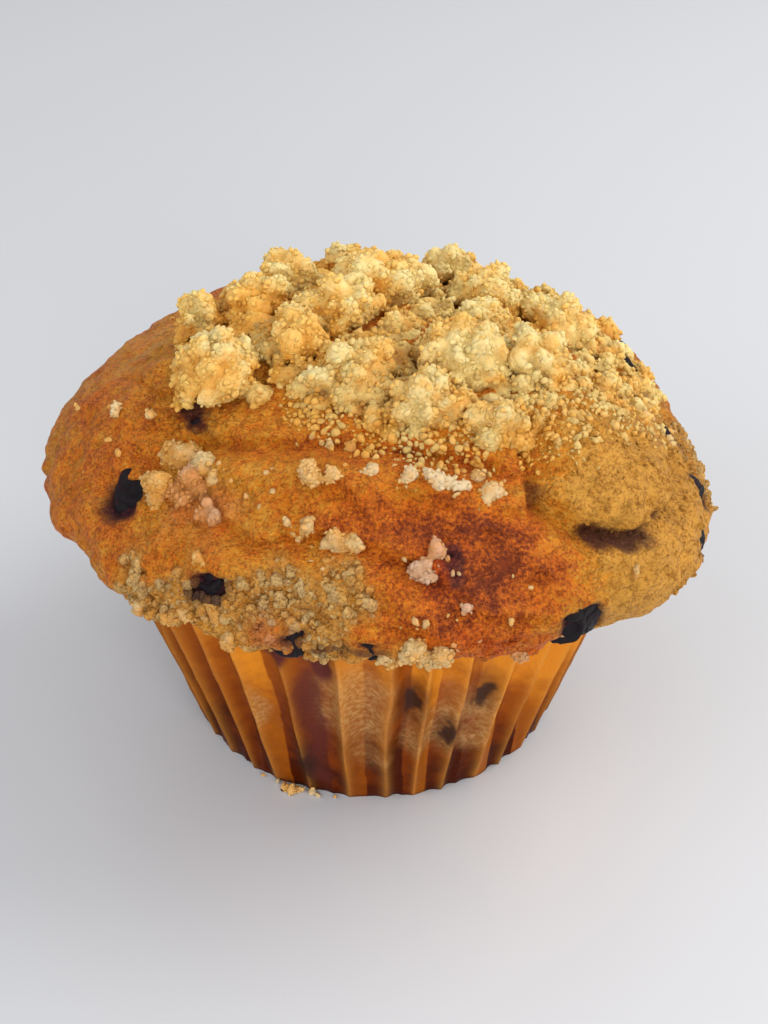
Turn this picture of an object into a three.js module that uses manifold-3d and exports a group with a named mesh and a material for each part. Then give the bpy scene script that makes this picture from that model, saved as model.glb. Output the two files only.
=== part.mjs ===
// A blueberry muffin with crumb topping, baked in a fluted paper case.
// Millimetres, +Z up. The origin is the centre of the case's flat base, and -Y is the muffin's front.
import * as THREE from "three";
import { mergeVertices } from "three/addons/utils/BufferGeometryUtils.js";
import Module from "manifold-3d";

const wasm = await Module();
wasm.setup();

const gap = 0.3; // clearance that touching pieces keep

const paperCase = {
  baseRadius: 25.4,
  rimRadius: 34,
  height: 33,
  paper: 0.4, // thickness of the greaseproof paper with the fat it has taken up
  corner: 0.9, // the rounded edge between the base and the wall
  pleats: 28,
  pleatDepth: 1.3,
  wander: 0.15, // how far the pleats stray from even spacing, in pleats
  wanderCycles: 11, // how often round the case the spacing strays, and the depth changes
  depthCycles: 9,
  depthChange: 0.35,
  cornerDepth: 0.35, // the share of the pleat depth where the base's rounded edge ends
};

const crown = {
  radius: 38,
  waist: 38, // height of the widest ring, and of the middle that directions are taken from
  foot: 31, // height of the underside
  top: 54.5,
  upperPower: 1.6, // powers of the upper and lower superellipse
  lowerPower: 3,
  segments: 48,
  rings: 16,
};

// Swellings and dips of the risen crown. Azimuth runs from +X towards +Y and tilt above the horizon, in degrees.
const lobes = [
  { azimuth: 184, tilt: 8, spread: 24, rise: 2.2 }, // the nose on the left
  { azimuth: 262, tilt: -2, spread: 30, rise: 4.4 }, // the front
  { azimuth: 322, tilt: 0, spread: 26, rise: 4.6 }, // the right front
  { azimuth: 330, tilt: 32, spread: 15, rise: 2.6 }, // the rise behind the mound on the right
  { azimuth: 321, tilt: 18, spread: 11, rise: 2.8 }, // the mound on the right
  { azimuth: 172, tilt: 46, spread: 24, rise: 1.6 }, // the left shoulder
  { azimuth: 2, tilt: 30, spread: 24, rise: -1.2 }, // the right shoulder
  { azimuth: 95, tilt: 10, spread: 30, rise: -1 }, // the back
  { azimuth: 140, tilt: 4, spread: 18, rise: 2 },
  { azimuth: 45, tilt: 2, spread: 20, rise: 2.4 },
];

// The bed of crumb topping that the lumps stand in, and its edge: the lowest tilt that it reaches.
const crumbBed = {
  thickness: 2.6,
  edge: [
    { azimuth: 0, tilt: 6 },
    { azimuth: 45, tilt: 9 },
    { azimuth: 90, tilt: 20 },
    { azimuth: 130, tilt: 36 },
    { azimuth: 175, tilt: 29 },
    { azimuth: 210, tilt: 28 },
    { azimuth: 235, tilt: 38 },
    { azimuth: 284, tilt: 32 },
    { azimuth: 303, tilt: 26 },
    { azimuth: 322, tilt: 21 },
    { azimuth: 340, tilt: 11 },
    { azimuth: 360, tilt: 6 },
  ],
};

// Large lumps of crumb topping: direction, width and height.
const lumps = [
  { azimuth: 209, tilt: 36, across: 11, height: 9 },
  { azimuth: 318, tilt: 50, across: 11, height: 9 },
  { azimuth: 131, tilt: 46, across: 7, height: 8 },
  { azimuth: 174, tilt: 35, across: 7, height: 6 },
  { azimuth: 160, tilt: 47, across: 8, height: 7 },
  { azimuth: 214, tilt: 59, across: 8, height: 7 },
  { azimuth: 170, tilt: 79, across: 9, height: 7 },
  { azimuth: 262, tilt: 52, across: 9, height: 6 },
  { azimuth: 82, tilt: 60, across: 12, height: 9 },
  { azimuth: 38, tilt: 42, across: 8, height: 8.5 },
  { azimuth: 15, tilt: 26, across: 9, height: 7 },
  { azimuth: 335, tilt: 37, across: 9, height: 6 },
  { azimuth: 358, tilt: 48, across: 9, height: 6 },
  { azimuth: 288, tilt: 39, across: 9, height: 6 },
  { azimuth: 306, tilt: 31, across: 7, height: 5 },
  { azimuth: 62, tilt: 30, across: 9, height: 7 },
  { azimuth: 98, tilt: 26, across: 8, height: 6 },
];

// Blueberries that show in the crown: direction and diameter.
const crownBerries = [
  { azimuth: 217, tilt: 9, across: 9 },
  { azimuth: 243, tilt: 5, across: 7 },
  { azimuth: 258, tilt: 3, across: 7.5 },
  { azimuth: 270, tilt: 0, across: 6 },
  { azimuth: 302, tilt: 0, across: 8.5 },
  { azimuth: 283, tilt: 13, across: 6 },
  { azimuth: 310, tilt: 9, across: 7.5 },
  { azimuth: 337, tilt: 4, across: 4.6 },
  { azimuth: 329, tilt: 1, across: 5 },
  { azimuth: 347, tilt: 8, across: 6 },
  { azimuth: 12, tilt: 9, across: 8 },
  { azimuth: 215, tilt: 26, across: 7 },
  { azimuth: 28, tilt: 4, across: 7 },
  { azimuth: 74, tilt: 8, across: 8 },
  { azimuth: 118, tilt: 3, across: 8 },
  { azimuth: 158, tilt: 10, across: 7 },
];

// Blueberries pressed against the paper: azimuth, height of the middle and diameter.
const wallBerries = [
  { azimuth: 279, height: 22, across: 8 },
  { azimuth: 289, height: 14, across: 6.5 },
  { azimuth: 297, height: 20, across: 7 },
  { azimuth: 252, height: 7, across: 7.5 },
  { azimuth: 20, height: 16, across: 8 },
  { azimuth: 84, height: 22, across: 7 },
  { azimuth: 128, height: 11, across: 8 },
  { azimuth: 190, height: 20, across: 7 },
];

const bedRamp = 5; // degrees in which the bed rises to its thickness
const ballDetail = 1; // subdivisions of the icosahedron that a lump or a berry starts from
const unevenness = 0.05;
const lumpStand = 0.12; // how far a lump's middle stands above the crust, in lump heights
const berryHeight = 0.92; // a berry's height over its width
const berrySink = 0.36; // how deep a crown berry's middle lies, in diameters
const wallBerryDepth = 0.42; // how far a case berry's middle lies from the paper, in diameters

const looks = {
  crust: { color: 0xb87a3a, roughness: 0.8 },
  crumb: { color: 0xe0bb72, roughness: 0.85 },
  berry: { color: 0x1d1220, roughness: 0.35 },
  paper: { color: 0xb8742f, roughness: 0.5 },
};

const radians = THREE.MathUtils.degToRad;
const heart = new THREE.Vector3(0, 0, crown.waist);

// The unit vector at an azimuth and a tilt in degrees.
function towards(azimuth, tilt) {
  const level = Math.cos(radians(tilt));
  return new THREE.Vector3(
    Math.cos(radians(azimuth)) * level,
    Math.sin(radians(azimuth)) * level,
    Math.sin(radians(tilt)),
  );
}

// A closed skin from a pole, over rings that hold one number of points each, to a pole.
function ringSkin(firstPole, rings, lastPole) {
  const around = rings[0].length;
  const points = [firstPole, ...rings.flat(), lastPole];
  const at = (ring, i) => 1 + ring * around + (i % around);
  const lastRing = rings.length - 1;
  const faces = [];
  for (let i = 0; i < around; i++) {
    faces.push(0, at(0, i + 1), at(0, i));
    for (let ring = 0; ring < lastRing; ring++) {
      faces.push(at(ring, i), at(ring, i + 1), at(ring + 1, i + 1));
      faces.push(at(ring, i), at(ring + 1, i + 1), at(ring + 1, i));
    }
    faces.push(at(lastRing, i), at(lastRing, i + 1), points.length - 1);
  }
  return new THREE.BufferGeometry().setFromPoints(points).setIndex(faces);
}

// A closed geometry as a solid that can be cut and joined.
function solidFrom(geometry) {
  const bare = geometry.clone();
  bare.deleteAttribute("normal");
  bare.deleteAttribute("uv");
  const merged = mergeVertices(bare, 1e-4);
  return new wasm.Manifold(
    new wasm.Mesh({
      numProp: 3,
      vertProperties: new Float32Array(merged.attributes.position.array),
      triVerts: new Uint32Array(merged.index.array),
    }),
  );
}

// The largest body of a solid, as a three.js geometry.
function geometryFrom(solid) {
  const bodies = solid.decompose().sort((a, b) => b.volume() - a.volume());
  const mesh = bodies[0].getMesh();
  const geometry = new THREE.BufferGeometry();
  geometry.setAttribute("position", new THREE.BufferAttribute(mesh.vertProperties, 3));
  geometry.setIndex(new THREE.BufferAttribute(mesh.triVerts, 1));
  geometry.computeVertexNormals();
  return geometry;
}

// One pleat is a sharp crest, a side and a flat panel that ends where the next side starts.
const pleatShape = [
  { along: 0, out: 1 },
  { along: 0.22, out: 0 },
  { along: 0.78, out: 0 },
];

// The angle that a pleat, or part of one, is round the case.
function pleatAngle(pleat) {
  return (2 * Math.PI * pleat) / paperCase.pleats;
}

function pleatStart(pleat) {
  return pleat + paperCase.wander * Math.sin(paperCase.wanderCycles * pleatAngle(pleat));
}

function pleatDepth(pleat) {
  const { depthChange, depthCycles } = paperCase;
  const share = 1 - depthChange + depthChange * Math.cos(depthCycles * pleatAngle(pleat));
  return paperCase.pleatDepth * share;
}

// A ring of the fluted wall. Depth is the share of the full pleat depth at this height.
function pleatRing(radius, height, depth) {
  const ring = [];
  for (let pleat = 0; pleat < paperCase.pleats; pleat++) {
    const start = pleatStart(pleat);
    const width = pleatStart(pleat + 1) - start;
    for (const point of pleatShape) {
      const angle = pleatAngle(start + width * point.along);
      const out = radius + depth * pleatDepth(pleat) * point.out;
      ring.push(new THREE.Vector3(Math.cos(angle) * out, Math.sin(angle) * out, height));
    }
  }
  return ring;
}

function wallRadius(height) {
  const { baseRadius, rimRadius, height: rim } = paperCase;
  return THREE.MathUtils.mapLinear(height, 0, rim, baseRadius, rimRadius);
}

// The wall's rings from the base to a top height, moved inwards by inset and lifted at the base by lift.
function wallRings(inset, lift, top) {
  const { corner, cornerDepth, baseRadius } = paperCase;
  return [
    pleatRing(baseRadius - corner - inset / 2, lift, 0),
    pleatRing(wallRadius(corner) - inset, corner + lift / 2, cornerDepth),
    pleatRing(wallRadius(3 * corner) - inset, 3 * corner, 1),
    pleatRing(wallRadius(top) - inset, top, 1),
  ];
}

function paperCaseSolid() {
  const { paper, height } = paperCase;
  const outside = wallRings(0, 0, height);
  const inside = wallRings(paper, paper, height).reverse();
  const base = new THREE.Vector3(0, 0, 0);
  const floor = new THREE.Vector3(0, 0, paper);
  return solidFrom(ringSkin(base, [...outside, ...inside], floor));
}

// A filled fluted cup: the shape of what is inside the case, or with a negative inset, of the room round it.
function filledCup(inset, top) {
  const rings = wallRings(inset, inset, top);
  const bottom = new THREE.Vector3(0, 0, inset);
  const lid = new THREE.Vector3(0, 0, top);
  return solidFrom(ringSkin(bottom, rings, lid));
}

function angleBetween(a, b) {
  return THREE.MathUtils.radToDeg(a.angleTo(b));
}

// Distance from the heart to the crown's surface in a direction.
function crownReach(direction) {
  const up = direction.z >= 0;
  const power = up ? crown.upperPower : crown.lowerPower;
  const rise = up ? crown.top - crown.waist : crown.waist - crown.foot;
  const level = Math.hypot(direction.x, direction.y) / crown.radius;
  const upright = Math.abs(direction.z) / rise;
  const plain = (level ** power + upright ** power) ** (-1 / power);
  return lobes.reduce((reach, lobe) => {
    const away = angleBetween(direction, towards(lobe.azimuth, lobe.tilt)) / lobe.spread;
    return reach + lobe.rise * Math.exp(-away * away / 2);
  }, plain);
}

// The crown as a closed solid, grown by extra(direction) millimetres.
function crownSolid(extra) {
  const rings = [];
  const place = (direction) => direction.clone()
    .multiplyScalar(crownReach(direction) + extra(direction))
    .add(heart);
  for (let ring = 1; ring < crown.rings; ring++) {
    const sweep = -90 + (180 * ring) / crown.rings;
    const rise = sweep >= 0 ? crown.top - crown.waist : crown.waist - crown.foot;
    const upright = rise * Math.sin(radians(sweep));
    const level = crown.radius * Math.cos(radians(sweep));
    const tilt = THREE.MathUtils.radToDeg(Math.atan2(upright, level));
    rings.push(
      Array.from({ length: crown.segments }, (_, i) =>
        place(towards((360 * i) / crown.segments, tilt))),
    );
  }
  return solidFrom(ringSkin(place(towards(0, -90)), rings, place(towards(0, 90))));
}

// The crumb bed's lowest tilt at an azimuth in degrees, on straight lines between its edge points.
function bedEdge(azimuth) {
  const next = crumbBed.edge.findIndex((point) => point.azimuth > azimuth);
  const from = crumbBed.edge[next - 1];
  const to = crumbBed.edge[next];
  return THREE.MathUtils.mapLinear(azimuth, from.azimuth, to.azimuth, from.tilt, to.tilt);
}

// How much the crumb bed stands above the crust in a direction: negative where there is none.
function bedThickness(direction) {
  const around = THREE.MathUtils.radToDeg(Math.atan2(direction.y, direction.x));
  const tilt = THREE.MathUtils.radToDeg(Math.asin(direction.z));
  const inside = tilt - bedEdge(THREE.MathUtils.euclideanModulo(around, 360));
  return THREE.MathUtils.clamp(inside / bedRamp, -1, 1) * (gap + crumbBed.thickness);
}

// An uneven ball, flattened along its own Z by height over across. Extra grows it on every side.
function unevenBall(across, height, seed, extra) {
  const geometry = new THREE.IcosahedronGeometry(1, ballDetail);
  const points = geometry.attributes.position;
  const point = new THREE.Vector3();
  for (let i = 0; i < points.count; i++) {
    point.fromBufferAttribute(points, i);
    const ripple = Math.sin(3.1 * point.x + seed) * Math.sin(2.7 * point.y + 2 * seed)
      + Math.sin(4.3 * point.z + 3 * seed) * Math.sin(3.7 * point.x - seed);
    point.multiplyScalar(1 + unevenness * ripple);
    points.setXYZ(
      i,
      point.x * (across / 2 + extra),
      point.y * (across / 2 + extra),
      point.z * (height / 2 + extra),
    );
  }
  return geometry;
}

// Moves a ball onto the crown with its own Z pointing out, and sinks its middle by a depth.
function onCrown({ azimuth, tilt }, ball, sink) {
  const direction = towards(azimuth, tilt);
  const turn = new THREE.Quaternion().setFromUnitVectors(new THREE.Vector3(0, 0, 1), direction);
  const middle = direction.clone().multiplyScalar(crownReach(direction) - sink).add(heart);
  return ball.applyQuaternion(turn).translate(middle.x, middle.y, middle.z);
}

function lumpSolid(lump, index, extra = 0) {
  const ball = unevenBall(lump.across, lump.height, index, extra);
  return solidFrom(onCrown(lump, ball, -lump.height * lumpStand));
}

function crownBerrySolid(berry, index, extra = 0) {
  const ball = unevenBall(berry.across, berry.across * berryHeight, index, extra);
  return solidFrom(onCrown(berry, ball, berry.across * berrySink));
}

function wallBerrySolid(berry, index, extra = 0) {
  const ball = unevenBall(berry.across, berry.across * berryHeight, index, extra);
  const reach = wallRadius(berry.height) - paperCase.paper - berry.across * wallBerryDepth;
  const place = towards(berry.azimuth, 0).multiplyScalar(reach);
  return solidFrom(ball.translate(place.x, place.y, berry.height));
}

const group = new THREE.Group();

function addPiece(name, solid, { color, roughness }) {
  const material = new THREE.MeshStandardMaterial({ color, roughness, metalness: 0 });
  const mesh = new THREE.Mesh(geometryFrom(solid), material);
  mesh.name = name;
  group.add(mesh);
}

const numbered = (name, index) => `${name}_${String(index + 1).padStart(2, "0")}`;

addPiece("paper_case", paperCaseSolid(), looks.paper);

const filling = filledCup(paperCase.paper + gap, crown.waist - 2);
let cake = crownSolid(() => 0)
  .subtract(filledCup(-gap, paperCase.height + gap))
  .add(filling);
const berryRooms = [];

crownBerries.forEach((berry, index) => {
  addPiece(numbered("crown_berry", index), crownBerrySolid(berry, index), looks.berry);
  berryRooms.push(crownBerrySolid(berry, index, gap));
});
wallBerries.forEach((berry, index) => {
  const pressed = wallBerrySolid(berry, index).intersect(filling);
  addPiece(numbered("case_berry", index), pressed, looks.berry);
  berryRooms.push(wallBerrySolid(berry, index, gap));
});
for (const room of berryRooms) {
  cake = cake.subtract(room);
}
addPiece("muffin_cake", cake, looks.crust);

const crustRoom = crownSolid(() => gap);
let bed = crownSolid(bedThickness).subtract(crustRoom);
for (const room of berryRooms) {
  bed = bed.subtract(room);
}
const lumpRooms = [];
lumps.forEach((lump, index) => {
  let solid = lumpSolid(lump, index).subtract(crustRoom);
  for (const room of [...berryRooms, ...lumpRooms]) {
    solid = solid.subtract(room);
  }
  addPiece(numbered("crumb_lump", index), solid, looks.crumb);
  lumpRooms.push(lumpSolid(lump, index, gap));
  bed = bed.subtract(lumpRooms[index]);
});
addPiece("crumb_bed", bed, looks.crumb);

export default group;
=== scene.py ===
import math
from functools import partialmethod

import bpy
import numpy as np
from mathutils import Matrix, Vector
from mathutils.bvhtree import BVHTree


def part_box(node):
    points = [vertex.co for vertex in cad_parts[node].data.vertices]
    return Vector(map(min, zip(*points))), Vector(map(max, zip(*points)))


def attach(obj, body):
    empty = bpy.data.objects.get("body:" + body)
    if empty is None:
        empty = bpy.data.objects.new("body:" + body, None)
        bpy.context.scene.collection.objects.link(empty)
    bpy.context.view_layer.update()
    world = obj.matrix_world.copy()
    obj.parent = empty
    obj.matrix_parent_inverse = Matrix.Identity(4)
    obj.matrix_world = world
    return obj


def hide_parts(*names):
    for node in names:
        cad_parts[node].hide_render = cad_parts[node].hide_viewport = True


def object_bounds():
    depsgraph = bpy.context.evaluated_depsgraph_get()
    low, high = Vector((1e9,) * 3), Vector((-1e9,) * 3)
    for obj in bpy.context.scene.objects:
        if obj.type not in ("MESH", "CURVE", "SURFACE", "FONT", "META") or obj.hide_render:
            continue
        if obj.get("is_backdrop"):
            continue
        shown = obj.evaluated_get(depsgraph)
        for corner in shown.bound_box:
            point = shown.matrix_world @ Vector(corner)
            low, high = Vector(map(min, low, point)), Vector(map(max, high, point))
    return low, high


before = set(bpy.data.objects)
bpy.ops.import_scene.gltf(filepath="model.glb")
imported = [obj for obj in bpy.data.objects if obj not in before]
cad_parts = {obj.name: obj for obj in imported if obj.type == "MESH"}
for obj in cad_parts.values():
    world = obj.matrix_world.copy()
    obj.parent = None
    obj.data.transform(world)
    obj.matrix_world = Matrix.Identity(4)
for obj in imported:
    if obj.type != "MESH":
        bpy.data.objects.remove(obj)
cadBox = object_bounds()

mm = 0.001
caseLow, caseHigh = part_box("paper_case")
caseTop = caseHigh.z
heart = np.array([0, 0, caseTop + 5 * mm])  # the middle of the crown, which directions are taken from
berryNodes, caseBerryNodes, lumpNodes = (
    sorted(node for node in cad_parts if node.startswith(start))
    for start in ("crown_berry", "case_berry", "crumb_lump"))


# Camera, floor and light

cameraPlace = {"lens": 54, "height": 143.7 * mm, "back": 161.1 * mm, "right": 1.3 * mm, "tiltDown": 36}

lamps = {
    "window": {"place": (420, 130, 400), "size": 460, "watts": 2.5, "color": (1.0, 0.97, 0.93)},
    "fill": {"place": (-380, -260, 300), "size": 420, "watts": 0.85, "color": (0.95, 0.97, 1.0)},
    "front": {"place": (130, -470, 190), "size": 360, "watts": 1.7, "color": (1.0, 0.98, 0.96)},
}


def addObject(name, data):
    added = bpy.data.objects.new(name, data)
    bpy.context.collection.objects.link(added)
    return added


def makeCamera():
    data = bpy.data.cameras.new("Camera")
    data.lens = cameraPlace["lens"]
    data.sensor_width = 36
    data.clip_start = 0.01
    camera = addObject("Camera", data)
    camera.location = (cameraPlace["right"], -cameraPlace["back"], cameraPlace["height"])
    camera.rotation_euler = (math.radians(90 - cameraPlace["tiltDown"]), 0, 0)
    bpy.context.scene.camera = camera


def makeLamps():
    for name, lamp in lamps.items():
        data = bpy.data.lights.new(name, "AREA")
        data.shape = "DISK"
        data.size = lamp["size"] * mm
        data.energy = lamp["watts"]
        data.color = lamp["color"]
        light = addObject(name, data)
        light.location = Vector(lamp["place"]) * mm
        aim = Vector((0, 0, 30 * mm)) - light.location
        light.rotation_euler = aim.to_track_quat("-Z", "Y").to_euler()


def makeSurroundings():
    world = bpy.data.worlds.new("studio")
    world.use_nodes = True
    sky = world.node_tree.nodes["Background"]
    sky.inputs["Color"].default_value = (0.93, 0.945, 0.97, 1)
    sky.inputs["Strength"].default_value = 0.75
    bpy.context.scene.world = world
    bpy.context.scene.view_settings.view_transform = "Standard"
    bpy.ops.mesh.primitive_plane_add(size=6)
    floor = bpy.context.object
    floor.name = "floor"
    floor.data.materials.append(newMaterial("pale floor", Base_Color=(0.53, 0.54, 0.56, 1), Roughness=0.35)[0])
    floor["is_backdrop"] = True


# Noise for relief, in metres

def hashed(cell, seed):
    mixed = cell[:, 0] * 73856093 ^ cell[:, 1] * 19349663 ^ cell[:, 2] * 83492791 ^ seed * 26544357
    mixed &= 0xFFFFFFFF
    mixed = ((mixed ^ mixed >> 13) * 1274126177) & 0xFFFFFFFF
    mixed = ((mixed ^ mixed >> 16) * 374761393) & 0xFFFFFFFF
    return (mixed >> 12) / float(0xFFFFF)


def softNoise(points, size, seed):
    cell = np.floor(points / size).astype(np.int64)
    part = points / size - cell
    part = part * part * (3 - 2 * part)
    total = np.zeros(len(points))
    for corner in np.ndindex(2, 2, 2):
        weight = np.prod(np.where(corner, part, 1 - part), axis=1)
        total += weight * hashed(cell + np.array(corner), seed)
    return total * 2 - 1


def layeredNoise(points, size, seed, layers=3):
    return sum(softNoise(points, size / 2**k, seed + 31 * k) / 2**k for k in range(layers))


def cellNoise(points, size, seed):  # distance to the nearest of many scattered points, in cells
    place = points / size
    cell = np.floor(place).astype(np.int64)
    nearest = np.full(len(points), 9.0)
    for offset in np.ndindex(3, 3, 3):
        near = cell + np.array(offset) - 1
        scatter = np.stack([hashed(near, seed + k) for k in range(3)], axis=1)
        nearest = np.minimum(nearest, lengths(near + scatter - place))
    return nearest


def lengths(vectors):
    return np.linalg.norm(vectors, axis=1)


def smoothStep(low, high, value):
    t = np.clip((value - low) / (high - low), 0, 1)
    return t * t * (3 - 2 * t)


# Mesh and node helpers

def makePiece(name, points, faces):
    mesh = bpy.data.meshes.new(name)
    mesh.from_pydata(points.tolist(), [], faces)
    mesh.shade_smooth()
    return addObject(name, mesh)


def pointsOf(mesh):
    points = np.empty(len(mesh.vertices) * 3)
    mesh.vertices.foreach_get("co", points)
    return points.reshape(-1, 3)


def normalsOf(mesh):
    normals = np.empty(len(mesh.vertices) * 3)
    mesh.vertex_normals.foreach_get("vector", normals)
    return normals.reshape(-1, 3)


def rayTree(mesh):
    return BVHTree.FromPolygons([v.co for v in mesh.vertices], [p.vertices for p in mesh.polygons])


def movePoints(mesh, points):
    mesh.vertices.foreach_set("co", points.ravel())
    mesh.update()


def paint(mesh, **masks):  # point values for the materials, each an array or one number
    for name, values in masks.items():
        attribute = mesh.attributes.get(name) or mesh.attributes.new(name, "FLOAT", "POINT")
        spread = np.broadcast_to(values, len(mesh.vertices)).astype(np.float32)
        attribute.data.foreach_set("value", spread)


def copyNode(node, name):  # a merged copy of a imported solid, which itself stays as it is
    piece = addObject(name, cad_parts[node].data.copy())
    piece.data.materials.clear()
    weld = piece.modifiers.new("weld", "WELD")
    weld.merge_threshold = 0.001 * mm
    settle(piece)
    return piece


def settle(piece):  # turns the modifiers' result into a plain mesh
    found = piece.evaluated_get(bpy.context.evaluated_depsgraph_get())
    mesh = bpy.data.meshes.new_from_object(found)
    piece.modifiers.clear()
    piece.data = mesh
    mesh.name = piece.name
    mesh.shade_smooth()


def remesh(piece, voxel):
    step = piece.modifiers.new("remesh", "REMESH")
    step.mode = "VOXEL"
    step.voxel_size = voxel
    step.use_smooth_shade = True
    settle(piece)


def blurred(mesh, values, rounds):  # averages point values over neighbours
    edges = np.empty(len(mesh.edges) * 2, dtype=np.int64)
    mesh.edges.foreach_get("vertices", edges)
    one, two = edges.reshape(-1, 2).T
    count = len(mesh.vertices)
    share = np.bincount(one, minlength=count) + np.bincount(two, minlength=count)
    share = np.maximum(share, 1)
    for _ in range(rounds):
        total = np.stack([
            np.bincount(one, column[two], count) + np.bincount(two, column[one], count)
            for column in values.T], axis=1)
        values = 0.5 * values + 0.5 * total / share[:, None]
    return values


def paintHollowShade(mesh, rounds, depth, extra):  # painted shade: 0 in the hollows, 1 on the tips, where the crumb is painted lighter
    points = pointsOf(mesh)
    stand = np.sum((points - blurred(mesh, points, rounds)) * normalsOf(mesh), axis=1)
    paint(mesh, tip=np.clip(0.25 + stand / depth + extra, 0, 1))


def newTree(name, inputs):  # the inputs' kinds follow their values
    tree = bpy.data.node_groups.new(name, "GeometryNodeTree")
    tree.interface.new_socket("Geometry", in_out="INPUT", socket_type="NodeSocketGeometry")
    for label, value in inputs.items():
        kind = {bool: "Bool", int: "Int", float: "Float"}.get(type(value), "Material")
        socket = tree.interface.new_socket(label, in_out="INPUT", socket_type="NodeSocket" + kind)
        socket.default_value = value
    tree.interface.new_socket("Geometry", in_out="OUTPUT", socket_type="NodeSocketGeometry")
    return tree


def endTree(shape, material):
    real = wire(shape.tree, "GeometryNodeRealizeInstances", {"Geometry": shape})
    painted = wire(shape.tree, "GeometryNodeSetMaterial", {"Geometry": real, "Material": material})
    join(painted, addNode(shape.tree, "NodeGroupOutput").inputs[0])


class Wire:  # a node's output, to reckon with as if it were a number
    def __init__(self, socket):
        self.socket = socket
        self.tree = socket.id_data

    def maths(self, operation, *values):
        return wire(self.tree, "ShaderNodeMath", dict(enumerate((self, *values))), operation=operation)

    def stretch(self, low, high, toLow=0.0, toHigh=1.0):
        return wire(self.tree, "ShaderNodeMapRange", {
            "Value": self, "From Min": low, "From Max": high, "To Min": toLow, "To Max": toHigh}, "Result")


wireSigns = {"add": "ADD", "sub": "SUBTRACT", "mul": "MULTIPLY", "truediv": "DIVIDE", "pow": "POWER"}
for sign, operation in wireSigns.items():
    setattr(Wire, f"__{sign}__", partialmethod(Wire.maths, operation))


def join(value, socket):  # links a wire, or sets a plain value
    if isinstance(value, Wire):
        value.tree.links.new(value.socket, socket)
    else:
        socket.default_value = value


def addNode(tree, kind, inputs=None, **settings):
    node = tree.nodes.new(kind)
    for key, value in settings.items():
        setattr(node, key, value)
    for key, value in (inputs or {}).items():
        join(value, node.inputs[key])
    return node


def wire(tree, kind, inputs=None, output=0, **settings):
    return Wire(addNode(tree, kind, inputs, **settings).outputs[output])


def wires(tree, kind, inputs=None):
    return {socket.name: Wire(socket) for socket in addNode(tree, kind, inputs).outputs}


def parts(vector):  # its X, Y and Z
    return wires(vector.tree, "ShaderNodeSeparateXYZ", {"Vector": vector})


def vectorMaths(operation, inputs):
    return wire(inputs[0].tree, "ShaderNodeVectorMath", inputs, operation=operation)


def hold(shape, name, value, domain="POINT"):  # keeps a number on the shape for its material
    return wire(shape.tree, "GeometryNodeStoreNamedAttribute", {
        "Geometry": shape, "Name": name, "Value": value}, data_type="FLOAT", domain=domain)


def objectPlace(tree):
    return wire(tree, "ShaderNodeTexCoord", output="Object")


def runTree(piece, tree, values):
    modifier = piece.modifiers.new(tree.name, "NODES")
    modifier.node_group = tree
    for socket in tree.interface.items_tree:
        if socket.in_out == "INPUT" and socket.name in values:
            modifier[socket.identifier] = values[socket.name]
    settle(piece)


def corners(node):
    return [np.array(corner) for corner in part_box(node)]


def unit(vector):
    return vector / np.linalg.norm(vector)


def unitRows(vectors):
    return vectors / lengths(vectors)[:, None]


def azimuthsOf(points):  # in degrees
    return np.degrees(np.arctan2(points[:, 1], points[:, 0]))


def turnedFrom(at, azimuths):  # degrees from an azimuth, -180 to 180
    return (azimuths - at + 180) % 360 - 180


def finishPiece(piece, node=None):
    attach(piece, "root")
    if node:
        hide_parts(node)


# Materials

def newMaterial(name, **fixed):
    material = bpy.data.materials.new(name)
    material.use_nodes = True
    shader = material.node_tree.nodes["Principled BSDF"]
    for label, value in fixed.items():
        shader.inputs[label.replace("_", " ")].default_value = value
    return material, material.node_tree


def finishMaterial(material, color, roughness, height, depth):
    shader = material.node_tree.nodes["Principled BSDF"]
    join(color, shader.inputs["Base Color"])
    join(roughness, shader.inputs["Roughness"])
    relief = wire(color.tree, "ShaderNodeBump", {"Height": height, "Distance": depth, "Strength": 1.0})
    join(relief, shader.inputs["Normal"])
    return material


def ramp(factor, *stops):  # a stop is its position and its colour
    node = addNode(factor.tree, "ShaderNodeValToRGB", {"Fac": factor})
    while len(node.color_ramp.elements) < len(stops):
        node.color_ramp.elements.new(0.5)
    for element, (position, *color) in zip(node.color_ramp.elements, stops):
        element.position = position
        element.color = (*color, 1)
    return Wire(node.outputs["Color"])


def blend(kind, factor, one, two):
    node = addNode(one.tree, "ShaderNodeMix", data_type="RGBA", blend_type=kind)
    for index, value in ((0, factor), (6, one), (7, two)):
        join((*value, 1) if isinstance(value, tuple) else value, node.inputs[index])
    return Wire(node.outputs[2])


def grain(tree, size, detail=3, rough=0.6):  # noise of a size in metres, 0 to 1
    return wire(tree, "ShaderNodeTexNoise", {
        "Vector": objectPlace(tree), "Scale": 1 / size, "Detail": detail, "Roughness": rough}, "Fac")


def mask(tree, name):
    return wire(tree, "ShaderNodeAttribute", output="Fac", attribute_name=name)


def cells(tree, size):  # rounded cells of a size in metres: 0 in the middle
    return wire(tree, "ShaderNodeTexVoronoi", {"Vector": objectPlace(tree), "Scale": 1 / size}, "Distance")


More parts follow.
